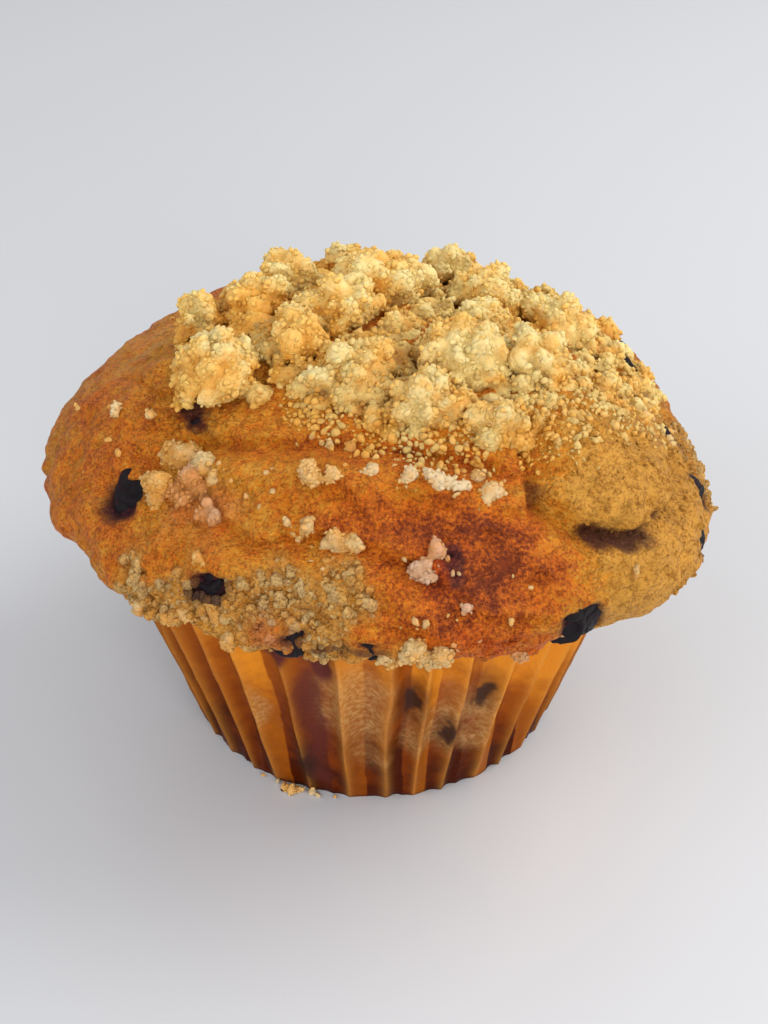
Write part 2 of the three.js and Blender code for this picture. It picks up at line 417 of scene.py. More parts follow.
def makeCrustMaterial():
    material, tree = newMaterial("baked crust", Specular_IOR_Level=0.22)
    fleck = grain(tree, 0.42 * mm, 4, 0.7)
    patch = grain(tree, 2.4 * mm, 3)
    pore = cells(tree, 0.8 * mm)
    tint, torn = mask(tree, "tint"), mask(tree, "torn")
    toast = (mask(tree, "toast") + fleck.stretch(0.36, 0.64, 0.2, -0.2) + patch.stretch(0.3, 0.7, 0.16, -0.16)
             + pore.stretch(0.2, 0.8, -0.05, 0.07) + tint.stretch(0, 1, 0, -0.16))
    baked = ramp(toast, (0, 1, 0.5, 0.08), (0.25, 0.97, 0.4, 0.03), (0.5, 0.94, 0.27, 0.014),
                 (0.75, 0.72, 0.15, 0.009), (1, 0.28, 0.045, 0.005))
    pale = patch.stretch(0.3, 0.7, -0.05, 0.3) + fleck.stretch(0.3, 0.7, -0.1, 0.15)
    crumb = ramp(pale + tint.stretch(0, 1, 0, 0.6), (0, 0.8, 0.32, 0.03), (0.3, 1, 0.54, 0.13),
                 (0.6, 1, 0.66, 0.25), (1, 1, 0.75, 0.36))
    color = blend("MIX", torn, baked, crumb)
    # painted shade in the crust's pits and painted light on the tips between them, multiplied into the colour
    pits = grain(tree, 0.3 * mm, 2, 0.6) + grain(tree, 1.1 * mm, 4, 0.7).stretch(0, 1, -0.5, 0.5)
    shade = ramp(pits, (0.32, 0.68, 0.54, 0.44), (0.5, 1, 0.96, 0.92), (0.68, 1.25, 1.15, 1.05))
    color = blend("MULTIPLY", 1.0, color, shade)
    color = blend("MULTIPLY", mask(tree, "rosy"), color, (0.95, 0.66, 0.9))
    stained = ramp(fleck.stretch(0.35, 0.65), (0, 0.01, 0.003, 0.005), (1, 0.13, 0.018, 0.028))
    color = blend("MIX", mask(tree, "juice"), color, stained)
    wrinkle = grain(tree, 1.7 * mm, 4, 0.65)
    height = fleck.stretch(0.3, 0.7, 0, 1.1) + wrinkle.stretch(0, 1, 0, 2.4) + pore.stretch(0.0, 0.7, 0.5, 0)
    return finishMaterial(material, color, torn.stretch(0, 1, 0.5, 0.85), height, 1.0 * mm)


def makeCrumbMaterial(name, cream):  # cream: how far the colour goes from yellow to cream
    material, tree = newMaterial(name, Specular_IOR_Level=0.4, Subsurface_Weight=0.25,
                                 Subsurface_Scale=1.4 * mm, Subsurface_Radius=(1.0, 0.6, 0.25))
    patch = grain(tree, 6 * mm, 3)
    fleck = grain(tree, 0.4 * mm, 3, 0.7)
    tint = mask(tree, "tint")
    # painted shade in the hollows and painted light on the tips, with noise and each grain's tint
    tip = mask(tree, "tip") + fleck.stretch(0.3, 0.7, -0.1, 0.1) + tint.stretch(0, 1, -0.14, 0.22)
    pale = ramp(tip, (0, 0.33, 0.16, 0.03), (0.3, 0.53, 0.33, 0.085), (0.6, 0.67, 0.46, 0.135),
                (1, 0.8, 0.62, 0.26))
    golden = ramp(tip, (0, 0.28, 0.09, 0.006), (0.3, 0.56, 0.24, 0.02), (0.6, 0.7, 0.33, 0.04),
                  (1, 0.8, 0.47, 0.11))
    place = parts(objectPlace(tree))
    side = place["X"].stretch(-25 * mm, 5 * mm, 0.1, 0)
    front = place["Y"].stretch(-30 * mm, 0, 1, 0)
    gold = (patch + side + tint.stretch(0, 1, -0.08, 0.08)).stretch(0.42, 0.58)
    color = blend("MIX", gold, pale, golden)
    # painted shade: the topping's front, towards -Y, is darkened and cooled
    color = blend("MULTIPLY", front, color, (0.82, 0.8, 0.85))
    color = blend("MULTIPLY", cream, color, (0.92, 0.9, 1.35))
    color = blend("MULTIPLY", mask(tree, "rosy"), color, (0.84, 0.66, 0.9))
    height = fleck + cells(tree, 0.55 * mm).stretch(0, 0.7, 0.8, 0)
    return finishMaterial(material, color, fleck.stretch(0.3, 0.7, 0.4, 0.8), height, 0.2 * mm)


def makeBerryMaterial():
    material, tree = newMaterial("blueberry skin", Specular_IOR_Level=0.14)
    patch = grain(tree, 1.4 * mm, 4)
    color = ramp(patch.stretch(0.35, 0.7), (0, 0.003, 0.002, 0.003), (0.7, 0.008, 0.004, 0.006),
                 (1, 0.035, 0.008, 0.012))
    height = grain(tree, 0.6 * mm, 4, 0.7)
    return finishMaterial(material, color, patch.stretch(0.3, 0.7, 0.35, 0.7), height, 0.3 * mm)


def makePaperMaterial():
    material, tree = newMaterial("greaseproof paper", Specular_IOR_Level=0.05)
    blotch = grain(tree, 5 * mm, 3)
    ripple = grain(tree, 0.6 * mm, 2, 0.5)
    panel = mask(tree, "panel")
    # level: darker towards the foot, and painted light on the right front side
    level = mask(tree, "lift") + blotch.stretch(0.3, 0.7, -0.16, 0.16) + panel.stretch(0, 1, -0.2, 0.3)
    amber = ramp(level, (0, 0.05, 0.006, 0.0002), (0.25, 0.15, 0.025, 0.0005), (0.65, 0.28, 0.062, 0.002),
                 (1, 0.6, 0.2, 0.012))
    # painted light and shade on the pleats' panels, set at random panel by panel, here and in the level above
    amber = blend("MIX", panel.stretch(0.6, 1.0, 0, 0.3), amber, (0.5, 0.17, 0.008))
    veil = ramp(ripple.stretch(0.38, 0.62), (0, 0.27, 0.12, 0.035), (1, 0.46, 0.28, 0.11))
    dry = mask(tree, "dry") * blotch.stretch(0.35, 0.6, 0.2, 0.65)
    color = blend("MIX", dry, amber, veil)
    # painted highlight along the pleats' ridges
    color = blend("MIX", mask(tree, "ridgeHighlight").stretch(0, 1, 0, 0.42), color, (0.6, 0.25, 0.04))
    color = blend("MIX", mask(tree, "berry"), color, (0.03, 0.012, 0.008))
    color = blend("MIX", mask(tree, "juice"), color, (0.09, 0.018, 0.014))
    height = grain(tree, 1.4 * mm, 3) + ripple.stretch(0, 1, 0, 0.3)
    return finishMaterial(material, color, blotch.stretch(0.3, 0.7, 0.34, 0.55), height, 0.22 * mm)


crustMaterial = makeCrustMaterial()
crumbMaterial = makeCrumbMaterial("crumb topping", 0.0)
stuckMaterial = makeCrumbMaterial("stuck crumbs", 0.7)
berryMaterial = makeBerryMaterial()
paperMaterial = makePaperMaterial()
print("the materials are made")
makeCamera()
makeLamps()
makeSurroundings()
print("camera, lamps and floor are in place")


# The cake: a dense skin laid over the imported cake, with the berry rooms closed, then shaped

cakeShape = {
    "columns": 600,
    "upperRings": 104,
    "underRings": 30,
    "stumpRings": 22,
    "rimTilt": -11.5,  # degrees: where the crown's underside meets the stump
    "reach": 80 * mm,
    "smoothing": 40,
    "swell": 0.7 * mm,
    "dimple": 0.68 * mm,
    "sponge": 0.34 * mm,
    "poreDepth": 0.22 * mm,
    "stumpInset": 2.7 * mm,
    "roomRounds": 600,  # of levelling the crust over the berries
}

# In these lists a place on the crown is its azimuth and tilt in degrees, and lengths are in mm.

# Where the crown swells or sinks: place, width and rise.
bulges = [
    (321, 17, 20, 2.4), (192, 12, 24, 0.7), (157, 15, 18, -2.4), (270, 24, 16, 0.8), (225, 14, 13, -1.7),
    (300, 6, 18, 0.5),
]
# Where its lower edge draws in and up: azimuth, spread in degrees, inward and upward.
tucks = [(268, 22, 2, 2.2), (298, 14, 0.8, 0.9), (236, 14, 0.5, 0.6)]

# Creases of the crust: depth, width, how much painted shade darkens them and the places on the way. A negative
# depth is a ridge, which the painted shade lightens instead.
folds = [
    (2.9, 1.3, 0.12, [(311, 30), (305, 23), (301, 17), (306, 12), (314, 9), (326, 9), (336, 10)]),
    (1.5, 1.2, 0.15, [(222, 22), (238, 27), (250, 29), (268, 31), (285, 28), (299, 23)]),
    (-1.1, 1.8, 0.15, [(230, 20), (250, 25), (268, 26), (283, 23), (297, 19)]),
    (0.8, 0.8, 0.15, [(212, 24), (216, 18), (219, 13), (216, 8)]),
    (1.3, 1, 0.15, [(240, 14), (249, 12), (262, 15), (273, 13), (280, 10)]),
    (0.7, 0.7, 0.15, [(190, 22), (200, 24), (207, 27)]),
    (0.8, 1, 0.15, [(60, 18), (84, 12), (104, 16), (120, 24)]),
    (0.8, 0.9, 0.15, [(134, 12), (150, 18), (170, 16)]),
    (0.7, 0.8, 0.15, [(20, 2), (40, 6), (58, 3)]),
]

# Where the crust has split and the pale inside shows: place, width and depth.
tornPlaces = [
    (238, 1, 9, 0.9), (247, 3, 8, 1.1), (256, 6, 9, 1.3), (265, 8, 8, 1.1), (261, 0, 7, 0.7),
    (230, 0, 7, 0.5), (342, 3, 9, 0.4), (352, 2, 9, 0.3), (92, 8, 9, 0.9), (108, 4, 7, 0.8),
]

# Browner and paler stretches of the crust: place, width and amount of toasting.
toastPlaces = [
    (190, 14, 26, 0.03), (212, 4, 16, 0.12), (180, 26, 20, -0.04), (270, 20, 12, 0.2), (286, 17, 14, 0.26),
    (296, 10, 13, 0.24), (282, 4, 14, 0.2), (255, 19, 10, 0.12), (292, 2, 8, -0.12), (248, 24, 8, -0.1),
    (262, 30, 10, 0.05), (319, 18, 20, -0.4), (322, 3, 22, -0.6), (345, 8, 18, -0.4), (310, 2, 14, -0.12),
    (232, 14, 9, -0.2), (80, 16, 24, 0.16), (130, 14, 22, 0.12), (30, 6, 16, 0.02),
]

# Berry juice that has run into a crease or along the lower edge: width, strength and the places on the way.
juiceRuns = [
    (1.3, 0.9, [(308, 11), (312, 9), (315, 9)]),
    (0.7, 0.75, [(315, 9), (322, 10), (330, 11)]),
    (1.6, 0.9, [(212, 27), (217, 26)]),
    (0.9, 0.8, [(284, 14), (283, 10)]),
    (1.1, 0.7, [(262, -3), (272, -2)]),
    (0.9, 0.6, [(303, 19), (302, 17)]),
]
# Where juice has only tinted the crust: place and width.
rosyPlaces = [(285, -3, 8), (293, -4, 7), (231, 14, 6), (237, 15, 6), (281, 12, 5), (255, -2, 6)]

# Where the crown's lower edge has stayed pale and crumbly: azimuth, spread in degrees and amount.
paleEdges = [(238, 17, 1), (264, 9, 0.7), (285, 10, 0.25), (345, 20, 0.8), (90, 35, 0.8), (150, 15, 0.5)]


def ringTilts():  # degrees, from the top pole's next ring to the bottom pole's
    low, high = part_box("muffin_cake")
    wide = (high.x - low.x) / 2
    rise = high.z - heart[2]
    sweeps = np.linspace(90, 0, cakeShape["upperRings"] + 1)[1:]
    upper = [math.degrees(math.atan2(rise * math.sin(s), wide * math.cos(s))) for s in np.radians(sweeps)]
    under = np.linspace(0, cakeShape["rimTilt"], cakeShape["underRings"] + 1)[1:]
    stump = np.linspace(cakeShape["rimTilt"], -90, cakeShape["stumpRings"] + 1)[1:-1]
    return np.concatenate([upper, under, stump])


def directionOf(azimuth, tilt):
    azimuth, tilt = np.radians(azimuth), np.radians(tilt)
    return np.stack(np.broadcast_arrays(
        np.cos(azimuth) * np.cos(tilt), np.sin(azimuth) * np.cos(tilt), np.sin(tilt)), axis=-1)


def neighbourMean(reach):
    around = np.roll(reach, 1, 1) + np.roll(reach, -1, 1)
    padded = np.pad(reach, ((1, 1), (0, 0)), mode="edge")
    return (around + padded[:-2] + padded[2:]) / 4


def closeRooms(reach, unknown):  # spreads the crust's level over the berries' rooms
    reach = np.where(unknown, np.median(reach[~unknown]), reach)
    for _ in range(cakeShape["roomRounds"]):
        reach = np.where(unknown, neighbourMean(reach), reach)
    return reach


def smoothed(reach, tilts, rounds):
    soft = smoothStep(-8, -3, tilts)[:, None] * 0.9
    for _ in range(rounds):
        reach = reach + soft * (neighbourMean(reach) - reach)
    return reach


def layCakeSkin():
    tree = rayTree(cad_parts["muffin_cake"].data)
    tilts = ringTilts()
    azimuths = np.arange(cakeShape["columns"]) * 360 / cakeShape["columns"]
    directions = directionOf(azimuths[None, :], tilts[:, None])
    reach = np.empty(directions.shape[:2])
    for ring, row in enumerate(directions):
        for column, direction in enumerate(row):
            start = Vector(heart + direction * cakeShape["reach"])
            hit = tree.ray_cast(start, Vector(-direction))
            reach[ring, column] = cakeShape["reach"] - hit[3]
    places = heart + directions * reach[..., None]
    unknown = np.zeros(reach.shape, bool)
    for node in berryNodes:
        low, high = corners(node)
        size = (high - low).max() / 2 + 0.8 * mm
        unknown |= np.linalg.norm(places - (low + high) / 2, axis=-1) < size
    reach = smoothed(closeRooms(reach, unknown), tilts, cakeShape["smoothing"])
    return tilts, directions, reach


cakeTilts, cakeDirections, cakeReach = layCakeSkin()
print("the cake's skin is laid")


def crustPoint(azimuth, tilt):  # the point of the smooth crust in a direction in degrees
    ring = np.argmin(np.abs(cakeTilts - tilt))
    column = round(azimuth * cakeShape["columns"] / 360) % cakeShape["columns"]
    return heart + cakeDirections[ring, column] * cakeReach[ring, column]


def distanceToWay(points, way):
    route = np.array([crustPoint(*at) for at in way])
    nearest = np.full(len(points), 1.0)
    for start, end in zip(route[:-1], route[1:]):
        along = end - start
        t = np.clip((points - start) @ along / (along @ along), 0, 1)
        nearest = np.minimum(nearest, lengths(points - start - t[:, None] * along))
    return nearest


def spotAt(points, at, across, edge=0.35):  # 1 in a spot, 0 outside it, with an uneven edge
    away = lengths(points - crustPoint(*at))
    away += layeredNoise(points, 3.2 * mm, 71) * across * mm * 0.22
    return 1 - smoothStep(across * mm * (0.5 - edge / 2), across * mm * (0.5 + edge / 2), away)


def hillAt(points, at, across):  # 1 at a place on the crust, fading over a width in mm
    away = lengths(points - crustPoint(*at)) / (across * mm)
    return np.exp(-(away * 1.7)**2)


# How wide each berry's opening in the crust is, in mm; nought is a berry that the crust covers.
berryOpenings = {
    "01": 4.8, "02": 4.6, "03": 2.6, "04": 1.4, "05": 5.4, "06": 1.1, "07": 0,
    "08": 2.9, "09": 3.2, "10": 2.4, "11": 2.2, "12": 0.9, "13": 2.4, "16": 0}
berryShifts = {"03": (0, -4.5)}  # degrees of azimuth and tilt


def berryFacts():
    facts = []
    for node in berryNodes:
        low, high = corners(node)
        outward = unit((low + high) / 2 - heart)
        tilt = math.degrees(math.asin(outward[2]))
        azimuth = math.degrees(math.atan2(outward[1], outward[0])) % 360
        aside, upward = berryShifts.get(node[-2:], (0, 0))
        at = (azimuth + aside, tilt + upward)
        facts.append({"node": node, "size": float((high - low).mean()), "at": at, "crust": crustPoint(*at),
                      "opening": berryOpenings.get(node[-2:], 4.5) * mm})
    return facts


berries = berryFacts()


def foldCrust(base, rise):  # presses the creases in, and returns the painted shade in them, lighter along the ridges
    creaseShade = np.zeros(len(base))
    for depth, width, creaseShadeAmount, way in folds:
        away = distanceToWay(base, way) / (width * mm)
        away *= 1 + 0.3 * softNoise(base, 2.5 * mm, 17)
        rise -= depth * mm * np.exp(-away**2)
        creaseShade += creaseShadeAmount * depth * np.exp(-away**2)
    return creaseShade


def tearCrust(base, rise):  # sinks the split places, and returns where they are
    torn = np.zeros(len(base))
    sunk = np.zeros(len(base))
    for *at, across, depth in tornPlaces:
        spot = spotAt(base, at, across)
        torn = np.maximum(torn, spot)
        sunk = sunk + spot * depth * mm * 0.6
    rise -= np.minimum(sunk, 1.6 * mm)
    return torn


def openCrust(base, rise):  # sinks the berries' openings, and returns where juice has stained the crust
    juice = np.zeros(len(base))
    for berry in berries:
        away = lengths(base - berry["crust"]) - berry["opening"] / 2
        away += 0.7 * mm * layeredNoise(base, 1.8 * mm, 41, 2)
        if berry["opening"]:
            rise -= 0.9 * mm * smoothStep(0.5 * mm, -0.8 * mm, away)
            juice = np.maximum(juice, smoothStep(1.0 * mm, -0.4 * mm, away))
    for across, strength, way in juiceRuns:
        away = distanceToWay(base, way) / (across * mm)
        away = away + 0.5 * layeredNoise(base, 1.5 * mm, 43)
        juice = np.maximum(juice, strength * smoothStep(1.3, 0.4, away))
    return juice


def drawIn(points, base, directions, azimuths, tilts):  # the stump, and the crown's lower edge at the tucks
    drawnIn = cakeShape["stumpInset"] * smoothStep(caseTop, caseTop - 3 * mm, base[:, 2])
    points[:, :2] *= (1 - drawnIn / lengths(base[:, :2]))[:, None]
    for at, spread, inward, upward in tucks:
        turned = turnedFrom(at, azimuths)
        pull = np.exp(-(turned / spread)**2) * smoothStep(9, -4, tilts) * smoothStep(-17, -10, tilts)
        points[:, :2] -= directions[:, :2] * (pull * inward * mm)[:, None]
        points[:, 2] += pull * upward * mm


def skinFaces(rings, columns):  # the two poles come after the rings
    faces = []
    for here in range(0, (rings - 1) * columns, columns):
        for i in range(columns):
            j = (i + 1) % columns
            faces.append((here + i, here + columns + i, here + columns + j, here + j))
    count = rings * columns
    last = count - columns
    faces += [(count, i, (i + 1) % columns) for i in range(columns)]
    faces += [(count + 1, last + (i + 1) % columns, last + i) for i in range(columns)]
    return faces


def makeCake():
    columns = cakeShape["columns"]
    directions = cakeDirections.reshape(-1, 3)
    base = heart + directions * cakeReach.reshape(-1, 1)
    tilts = np.repeat(cakeTilts, columns)
    azimuths = azimuthsOf(base)
    crownPart = smoothStep(-13, -9, tilts)
    rise = cakeShape["swell"] * layeredNoise(base, 13 * mm, 3, 2)
    rise += cakeShape["dimple"] * layeredNoise(base, 4.2 * mm, 5, 2)
    rise += cakeShape["sponge"] * layeredNoise(base, 1.3 * mm, 9, 2)
    rise -= cakeShape["poreDepth"] * smoothStep(0.34, 0.16, cellNoise(base, 2.4 * mm, 13))
    creaseShade = foldCrust(base, rise)
    torn = tearCrust(base, rise)
    lumpy = 0.5 - cellNoise(base, 1.7 * mm, 23)
    rise += torn * (1.1 * mm * lumpy + 0.35 * mm * layeredNoise(base, 0.9 * mm, 29, 2))
    paleness = sum(amount * np.exp(-(turnedFrom(at, azimuths) / spread)**2)
                   for at, spread, amount in paleEdges)
    edge = smoothStep(3, -3, tilts) * crownPart * np.clip(paleness, 0, 1)
    rise += edge * (0.45 * mm * lumpy + 0.6 * mm * layeredNoise(base, 3.4 * mm, 37, 3))
    for *at, across, height in bulges:
        rise += height * mm * hillAt(base, at, across)
    juice = openCrust(base, rise)
    toast = 0.37 + 0.14 * layeredNoise(base, 7 * mm, 47, 2) + 0.1 * layeredNoise(base, 2 * mm, 53, 2)
    # painted shade in the creases, and painted light on the ridges, added to the toasting
    toast += creaseShade
    for *at, across, amount in toastPlaces:
        toast += amount * hillAt(base, at, across)
    toast += 70 * np.clip(rise, -2 * mm, 1 * mm) * (1 - torn)  # what stands out is browner
    toast -= 0.35 * edge
    torn = np.maximum(torn, edge * smoothStep(-0.3, 0.5, layeredNoise(base, 6 * mm, 59, 2)))
    rosy = np.zeros(len(base))
    for *at, across in rosyPlaces:
        rosy = np.maximum(rosy, spotAt(base, at, across, 0.8))
    points = base + directions * (rise * crownPart)[:, None]
    drawIn(points, base, directions, azimuths, tilts)
    poles = np.array([[0, 0, points[:columns, 2].mean()], [0, 0, points[-columns:, 2].mean()]])
    cake = makePiece("muffin_cake_baked", np.concatenate([points, poles]), skinFaces(len(cakeTilts), columns))
    toast, torn, juice, rosy = (np.append(values, [0.5, 0.5]) for values in (toast, torn, juice, rosy))
    paint(cake.data, toast=toast, torn=torn, juice=juice, rosy=rosy)
    cake.data.materials.append(crustMaterial)
    finishPiece(cake, "muffin_cake")
    return cake


cake = makeCake()
print("the cake is shaped:", len(cake.data.polygons), "faces")

cakeTree = rayTree(cake.data)


def cakeHit(azimuth, tilt):  # the shaped skin's point and facing in a direction in degrees
    direction = directionOf(azimuth, tilt)
    hit = cakeTree.ray_cast(Vector(heart + direction * cakeShape["reach"]), Vector(-direction))
    return np.array(hit[0]), np.array(hit[1])


# The paper case: a ring of sharp pleats with flat panels between them, run by one rule

paperCase = {
    "fluting": {
        "Columns": 840,
        "Rows": 44,
        "Foot radius": 25.0 * mm,
        "Rim radius": (caseHigh.x - caseLow.x) / 2 - 0.25 * mm,
        "Height": caseTop,
        "Pleats": 37.0,
        "Pleat depth": 1.9 * mm,
        "Sharpness": 1.9,  # larger makes narrower ridges
        "Wander": 0.55,  # of a pleat's width
        "Lean": 0.12,
        "Panel bow": 0.3 * mm,
        "Crinkle": 0.2 * mm,
        "Rim wave": 1.3 * mm,
        "Seed": 4.0,
        "Paper": paperMaterial,
    },
    "thickness": 0.32 * mm,
    "paintedLightSide": 322,  # azimuth where the paper is painted lightest, as painted light from the right front
    "paintedLightSpread": 32,
}

# What has run down the paper or soaked it: azimuth, height, width, tallness and strength.
stains = [
    (255, 17, 2, 18, 0.8), (250, 30, 2.6, 3.6, 1), (259, 27.5, 1.8, 4, 1), (268, 31.5, 3.5, 1.2, 0.6),
    (286, 31, 3, 1.3, 0.45), (98, 20, 1.4, 9, 0.6), (20, 28, 2.4, 4, 0.6),
]

# Where the fat hasn't soaked the paper, in the same terms without strength.
dryPatches = [
    (267, 19, 4.6, 13), (259, 21, 2.2, 8), (283, 14, 3, 6), (290, 15, 3.4, 8), (298, 13, 3, 7),
    (240, 16, 2.4, 5), (20, 18, 6, 9), (75, 15, 7, 8), (140, 20, 6, 8), (185, 15, 4, 7),
]


def makePaperTree():
    tree = newTree("fluted paper", paperCase["fluting"])
    start = wires(tree, "NodeGroupInput")

    def vector(x, y, z):
        return wire(tree, "ShaderNodeCombineXYZ", {"X": x, "Y": y, "Z": z})

    def noiseAt(place, scale, detail=1.0):  # from -1 to 1
        noise = wire(tree, "ShaderNodeTexNoise", {
            "Vector": place, "W": start["Seed"], "Scale": scale, "Detail": detail},
            "Fac", noise_dimensions="4D")
        return noise * 2.0 - 1.0

    tube = wire(tree, "GeometryNodeMeshCylinder", {
        "Vertices": start["Columns"], "Side Segments": start["Rows"], "Radius": 1.0, "Depth": 1.0},
        "Mesh", fill_type="TRIANGLE_FAN")
    upward = parts(wire(tree, "GeometryNodeInputNormal"))["Z"]
    lid = wire(tree, "FunctionNodeCompare", {0: upward, 1: 0.5}, operation="GREATER_THAN")
    cup = wire(tree, "GeometryNodeDeleteGeometry", {"Geometry": tube, "Selection": lid}, domain="FACE")

    place = parts(wire(tree, "GeometryNodeInputPosition"))
    x, y = place["X"], place["Y"]
    rise = place["Z"] + 0.5  # 0 at the foot, 1 at the rim
    reach = (x * x + y * y).maths("SQRT")  # 0 at the middle of the base
    angle = y.maths("ARCTAN2", x)
    ring = vector(x, y, 0.0)
    count = angle / math.tau * start["Pleats"] + noiseAt(ring, 3.1) * start["Wander"]
    count = count + noiseAt(vector(x, y, rise * 0.5), 4.3) * start["Lean"]
    across = (count.maths("FRACT") * 2.0 - 1.0).maths("ABSOLUTE")  # 1 on a ridge, 0 in a valley
    halves = count * 2.0
    panel = halves.maths("FLOOR").maths("FLOORED_MODULO", start["Pleats"] * 2.0)
    # a random value per half-pleat: it bows the panels, and as the panel attribute it paints light and shade
    # on them
    chance = wire(tree, "ShaderNodeTexWhiteNoise", {"W": panel}, "Value", noise_dimensions="1D")

    depth = start["Pleat depth"] * (rise.stretch(0.0, 0.32, 0.16, 1.0) * (noiseAt(ring, 5.0) * 0.25 + 1.0))
    bow = (halves.maths("FRACT") * math.pi).maths("SINE") * (chance * 2.0 - 1.3) * start["Panel bow"]
    fine = vector(x * 9.0, y * 9.0, rise * 4.0)
    out = (across**start["Sharpness"] - 1.0) * depth + bow + noiseAt(fine, 1.4, 3.0) * start["Crinkle"]
    slope = (start["Rim radius"] - start["Foot radius"]) * rise
    radius = reach * (slope + start["Foot radius"] + out)
    sag = rise**5.0 * start["Rim wave"] * (noiseAt(ring, 3.6, 3.0) * 0.9 - 0.35)
    wall = vector(radius * angle.maths("COSINE"), radius * angle.maths("SINE"), rise * start["Height"] + sag)

    # a painted highlight along the pleats' ridges
    held = hold(hold(cup, "ridgeHighlight", across**5.0), "panel", chance)
    endTree(wire(tree, "GeometryNodeSetPosition", {"Geometry": held, "Position": wall}), start["Paper"])
    return tree


def paintPaper(mesh):
    points = pointsOf(mesh)
    azimuth = azimuthsOf(points) % 360
    radius = lengths(points[:, :2])

    def around(at):  # metres along the wall from an azimuth
        return np.radians(turnedFrom(at, azimuth)) * radius

    def awayFrom(at, level, wide, tall):
        return np.hypot(around(at) / (wide * mm), (points[:, 2] - level * mm) / (tall * mm))

    shadow = np.zeros(len(points))
    for node in caseBerryNodes:
        low, high = corners(node)
        middle, size = (low + high) / 2, (high - low).max()
        at = math.degrees(math.atan2(middle[1], middle[0]))
        away = np.hypot(around(at) * 1.6, (points[:, 2] - middle[2] + 1.2 * mm) * 0.7) / size
        away += 0.1 * layeredNoise(points, 1.3 * mm, 61, 2)
        halo = 0.45 * smoothStep(0.6, 0.25, away)
        shadow = np.maximum(shadow, np.maximum(halo, 0.95 * smoothStep(0.34, 0.16, away)))
    juice = np.zeros(len(points))
    for *place, strength in stains:
        away = awayFrom(*place) + 0.3 * layeredNoise(points, 3 * mm, 67, 2)
        juice = np.maximum(juice, strength * smoothStep(1.15, 0.35, away))
    dry = np.zeros(len(points))
    for place in dryPatches:
        away = awayFrom(*place) + 0.3 * layeredNoise(points, 4 * mm, 69, 2)
        dry = np.maximum(dry, smoothStep(1.2, 0.6, away))
    dry *= smoothStep(2 * mm, 8 * mm, points[:, 2]) * smoothStep(31 * mm, 24 * mm, points[:, 2])
    # darker towards the foot, and painted light on the right front side
    turned = turnedFrom(paperCase["paintedLightSide"], azimuth) / paperCase["paintedLightSpread"]
    lift = smoothStep(-0.1, 0.9, points[:, 2] / caseTop) * (0.66 + 0.85 * np.exp(-turned**2))
    paint(mesh, berry=shadow, juice=juice, dry=dry, lift=lift)


def makePaperCase():
    piece = makePiece("paper_case_fluted", np.empty((0, 3)), [])
    runTree(piece, makePaperTree(), paperCase["fluting"])
    paintPaper(piece.data)
    thick = piece.modifiers.new("thickness", "SOLIDIFY")
    thick.thickness = paperCase["thickness"]
    thick.offset = -1
    settle(piece)
    finishPiece(piece, "paper_case")
    return piece


paper = makePaperCase()
print("the paper case is folded:", len(paper.data.polygons), "faces")


# Blueberries: baked ones in the crown, and smaller ones close behind the paper

berryShape = {
    "voxel": 0.3 * mm,
    "wrinkle": 0.05,  # this and the dent are shares of a berry's size
    "dent": 0.07,
    "coveredDepth": 2 * mm,
    "behindPaper": 4.2 * mm,
    "behindSize": 0.7,
}


def makeBerry(berry, seed):
    piece = copyNode(berry["node"], berry["node"] + "_skin")
    low, high = corners(berry["node"])
    size, middle = berry["size"], berry["middle"]
    movePoints(piece.data, middle + (pointsOf(piece.data) - (low + high) / 2) * size / (high - low).mean())
    remesh(piece, berryShape["voxel"])
    points = blurred(piece.data, pointsOf(piece.data), 6)
    outward = unitRows(points - middle)
    spread = outward * size / 2
    rise = berryShape["wrinkle"] * size * layeredNoise(spread, 0.35 * size, seed, 3)
    creases = np.abs(softNoise(spread, 0.3 * size, seed + 5))
    rise -= 0.5 * berryShape["wrinkle"] * size * smoothStep(0.22, 0, creases)
    facing = outward @ unit(berry["outward"] + 0.45 * directionOf(40.0 * seed, 15.0))
    rise -= berryShape["dent"] * size * smoothStep(0.86, 0.97, facing)
    rise += 0.03 * size * smoothStep(0.74, 0.86, facing) * smoothStep(0.96, 0.86, facing)
    movePoints(piece.data, points + outward * rise[:, None])
    piece.data.materials.append(berryMaterial)
    finishPiece(piece, berry["node"])


def caseBerryFacts(node):
    low, high = corners(node)
    middle = (low + high) / 2
    outward = unit(middle * np.array([1, 1, 0]))
    return {"node": node, "middle": middle - outward * berryShape["behindPaper"], "outward": outward,
            "size": float((high - low).mean()) * berryShape["behindSize"]}


def placeBerry(berry):  # as deep as its opening in the crust asks
    radius = berry["size"] / 2
    depth = radius + berryShape["coveredDepth"]
    if berry["opening"]:
        depth = math.sqrt(radius**2 - (berry["opening"] / 2)**2)
    azimuth, tilt = berry["at"]
    around = [(azimuth + turned, tilt + raised) for turned in (-7, 0, 7) for raised in (-7, 0, 7)]
    normal = unit(sum(cakeHit(*at)[1] for at in around))
    berry["middle"] = cakeHit(azimuth, tilt)[0] + normal * (0.18 * berry["opening"] - depth)
    berry["outward"] = normal


for index, berry in enumerate(berries):
    placeBerry(berry)
    makeBerry(berry, 100 + index)
for index, node in enumerate(caseBerryNodes):
    makeBerry(caseBerryFacts(node), 140 + index)
print("the berries are in place")


# The crumb topping: knobs on each lump, grains on the knobs

